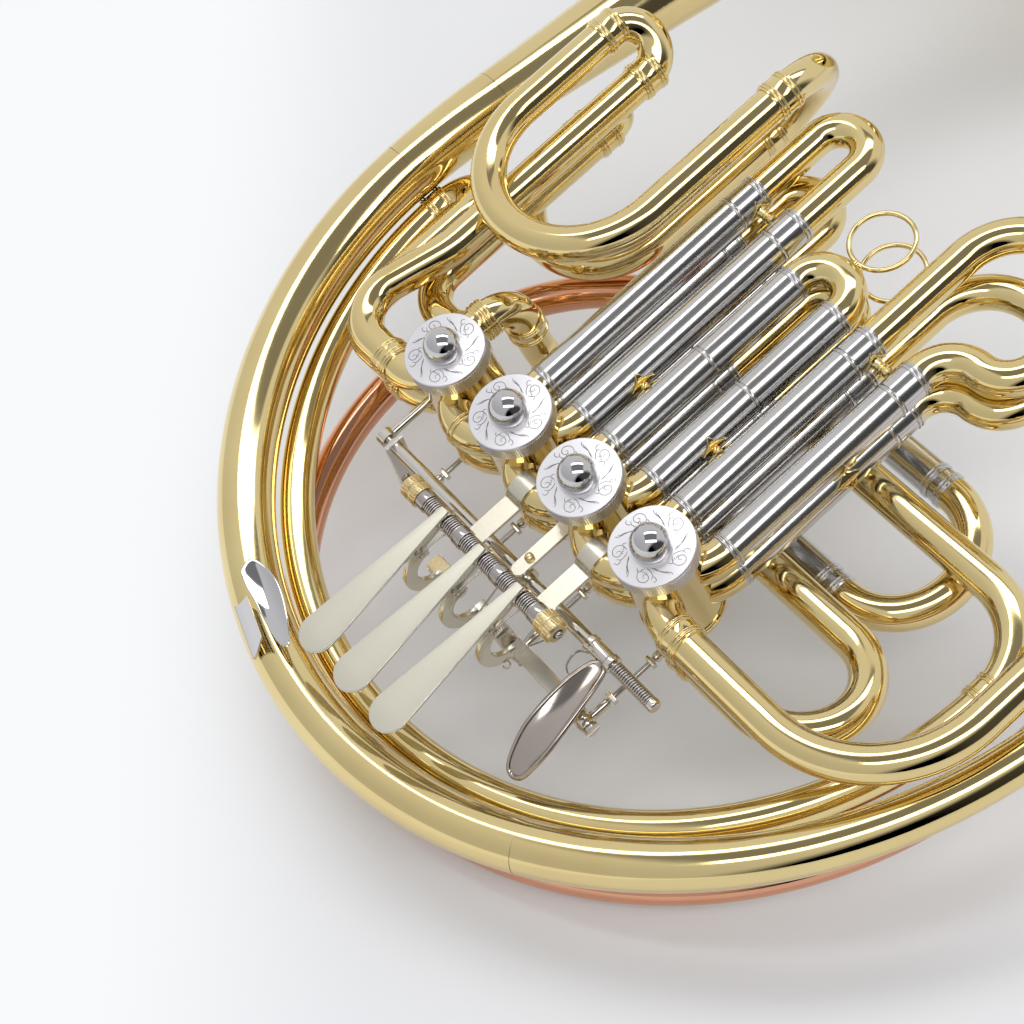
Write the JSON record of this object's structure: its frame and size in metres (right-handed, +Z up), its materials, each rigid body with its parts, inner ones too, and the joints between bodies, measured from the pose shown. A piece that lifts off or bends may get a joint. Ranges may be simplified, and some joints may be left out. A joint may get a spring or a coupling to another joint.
{
  "type": "french horn",
  "caption": "Double french horn with four rotary valves, finger keys and a thumb lever, pull-out tuning slides and a wide flared bell, lying on its rim.",
  "frame": {"origin": "middle of the bounding box at table height, with the horn lying on its bell rim and its hoop", "axes": "+X from the finger keys towards the bell's mouth, +Y from the first valve towards the change valve, +Z up, out of the valve caps"},
  "size_m": [0.6114, 0.5217, 0.3045],
  "materials": {
    "lacquered_brass": "polished lacquer",
    "red_brass": "polished lacquer",
    "nickel_silver": "polished",
    "cap_silver": "satin, engraved",
    "bumper": "matt",
    "spring_steel": "satin",
    "key_nickel": "satin"
  },
  "bodies": {
    "horn": {"axle_nuts": "lacquered_brass", "bearing_plates": "lacquered_brass", "bell": "lacquered_brass", "bell_tail": "lacquered_brass", "braces": "lacquered_brass", "casing_change": "lacquered_brass", "casing_first": "lacquered_brass", "casing_second": "lacquered_brass", "casing_third": "lacquered_brass", "change_bow_inner": "lacquered_brass", "change_bow_outer": "lacquered_brass", "feed": "lacquered_brass", "finger_hook": "key_nickel", "first_branch": "lacquered_brass", "hidden_branch": "lacquered_brass", "inner_hoop_branch": "lacquered_brass", "key_axle": "key_nickel", "key_brackets": "key_nickel", "knuckles": "lacquered_brass", "leadpipe": "red_brass", "low_loop": "lacquered_brass", "mouthpiece_receiver": "nickel_silver", "output_branch": "lacquered_brass", "port_elbows": "nickel_silver", "return_springs": "spring_steel", "sleeves_lower": "nickel_silver", "sleeves_upper": "nickel_silver", "stop_bumpers": "bumper", "stop_plates": "key_nickel", "thumb_axle": "key_nickel", "top_loop": "lacquered_brass", "tuning_sleeves": "nickel_silver", "under_run": "lacquered_brass", "valve_caps": "cap_silver"},
    "key_third": {"key_third": "key_nickel"},
    "rod_third": {"push_rod_third": "key_nickel"},
    "rotor_third": {"rotor_third": "lacquered_brass", "stop_arm_third": "key_nickel"},
    "key_second": {"key_second": "key_nickel"},
    "rod_second": {"push_rod_second": "key_nickel"},
    "rotor_second": {"rotor_second": "lacquered_brass", "stop_arm_second": "key_nickel"},
    "key_first": {"key_first": "key_nickel"},
    "rod_first": {"push_rod_first": "key_nickel"},
    "rotor_first": {"rotor_first": "lacquered_brass", "stop_arm_first": "key_nickel"},
    "thumb_lever": {"thumb_lever": "key_nickel"},
    "rod_change": {"push_rod_change": "key_nickel"},
    "rotor_change": {"rotor_change": "lacquered_brass", "stop_arm_change": "key_nickel"},
    "slide_first_upper": {"slide_first_upper": "nickel_silver"},
    "slide_first_lower": {"slide_first_lower": "nickel_silver"},
    "slide_second_upper": {"slide_second_upper": "nickel_silver"},
    "slide_second_lower": {"slide_second_lower": "nickel_silver"},
    "slide_third_upper": {"slide_third_upper": "nickel_silver"},
    "slide_third_lower": {"slide_third_lower": "nickel_silver"},
    "main_tuning_slide": {"main_tuning_slide": "lacquered_brass"}
  },
  "joints": [
    {"name": "key_third_press", "type": "hinge", "parent": "horn", "child": "key_third", "pos_m": [-0.2294, -0.04439, 0.07877], "axis": [0.0168, -0.9985, -0.0527], "range_deg": [0, 12.3], "stiffness_Nm_per_rad": 0.25, "springref_deg": -20.05},
    {"name": "rod_third_swing", "type": "hinge", "parent": "key_third", "child": "rod_third", "pos_m": [-0.22723, -0.03807, 0.03569], "axis": [-0.0168, 0.9985, 0.0527], "range_deg": [0, 10.7]},
    {"name": "rotor_third_turn", "type": "hinge", "parent": "horn", "child": "rotor_third", "pos_m": [-0.18593, -0.03497, 0.07739], "axis": [-0.3027, -0.0553, 0.9515], "range_deg": [0, 90]},
    {"name": "key_second_press", "type": "hinge", "parent": "horn", "child": "key_second", "pos_m": [-0.22905, -0.06535, 0.07767], "axis": [0.0168, -0.9985, -0.0527], "range_deg": [0, 12.3], "stiffness_Nm_per_rad": 0.25, "springref_deg": -20.05},
    {"name": "rod_second_swing", "type": "hinge", "parent": "key_second", "child": "rod_second", "pos_m": [-0.22659, -0.07611, 0.03368], "axis": [-0.0168, 0.9985, 0.0527], "range_deg": [0, 10.7]},
    {"name": "rotor_second_turn", "type": "hinge", "parent": "horn", "child": "rotor_second", "pos_m": [-0.18529, -0.07301, 0.07538], "axis": [-0.3027, -0.0553, 0.9515], "range_deg": [0, 90]},
    {"name": "key_first_press", "type": "hinge", "parent": "horn", "child": "key_first", "pos_m": [-0.2287, -0.08632, 0.07656], "axis": [0.0168, -0.9985, -0.0527], "range_deg": [0, 12.3], "stiffness_Nm_per_rad": 0.25, "springref_deg": -20.05},
    {"name": "rod_first_swing", "type": "hinge", "parent": "key_first", "child": "rod_first", "pos_m": [-0.22596, -0.11415, 0.03167], "axis": [-0.0168, 0.9985, 0.0527], "range_deg": [0, 10.7]},
    {"name": "rotor_first_turn", "type": "hinge", "parent": "horn", "child": "rotor_first", "pos_m": [-0.18466, -0.11105, 0.07337], "axis": [-0.3027, -0.0553, 0.9515], "range_deg": [0, 90]},
    {"name": "thumb_press", "type": "hinge", "parent": "horn", "child": "thumb_lever", "pos_m": [-0.21728, -0.1158, 0.06377], "axis": [-0.0168, 0.9985, 0.0527], "range_deg": [0, 19.65], "stiffness_Nm_per_rad": 0.2, "springref_deg": -20.05},
    {"name": "rod_change_swing", "type": "hinge", "parent": "thumb_lever", "child": "rod_change", "pos_m": [-0.21453, -0.00002, 0.04194], "axis": [0.0168, -0.9985, -0.0527], "range_deg": [0, 15.7]},
    {"name": "rotor_change_turn", "type": "hinge", "parent": "horn", "child": "rotor_change", "pos_m": [-0.18657, 0.00307, 0.07939], "axis": [0.3027, 0.0553, -0.9515], "range_deg": [0, 90]},
    {"name": "slide_first_upper_pull", "type": "slide", "parent": "horn", "child": "slide_first_upper", "axis": [0.9529, 0, 0.3032], "range_m": [0, 0.03]},
    {"name": "slide_first_lower_pull", "type": "slide", "parent": "horn", "child": "slide_first_lower", "axis": [0.9529, 0, 0.3032], "range_m": [0, 0.03]},
    {"name": "slide_second_upper_pull", "type": "slide", "parent": "horn", "child": "slide_second_upper", "axis": [0.9529, 0, 0.3032], "range_m": [0, 0.03]},
    {"name": "slide_second_lower_pull", "type": "slide", "parent": "horn", "child": "slide_second_lower", "axis": [0.9529, 0, 0.3032], "range_m": [0, 0.03]},
    {"name": "slide_third_upper_pull", "type": "slide", "parent": "horn", "child": "slide_third_upper", "axis": [0.9529, 0, 0.3032], "range_m": [0, 0.03]},
    {"name": "slide_third_lower_pull", "type": "slide", "parent": "horn", "child": "slide_third_lower", "axis": [0.9529, 0, 0.3032], "range_m": [0, 0.03]},
    {"name": "main_tuning_slide_pull", "type": "slide", "parent": "horn", "child": "main_tuning_slide", "axis": [0.0168, -0.9985, -0.0527], "range_m": [0, 0.03]}
  ],
  "couplings": [
    {"joint": "rod_third_swing", "follows": "key_third_press", "ratio": 0.8644},
    {"joint": "rotor_third_turn", "follows": "key_third_press", "ratio": 7.3165},
    {"joint": "rod_second_swing", "follows": "key_second_press", "ratio": 0.8644},
    {"joint": "rotor_second_turn", "follows": "key_second_press", "ratio": 7.3165},
    {"joint": "rod_first_swing", "follows": "key_first_press", "ratio": 0.8644},
    {"joint": "rotor_first_turn", "follows": "key_first_press", "ratio": 7.3165},
    {"joint": "rod_change_swing", "follows": "thumb_press", "ratio": 0.7964},
    {"joint": "rotor_change_turn", "follows": "thumb_press", "ratio": 4.5801}
  ]
}
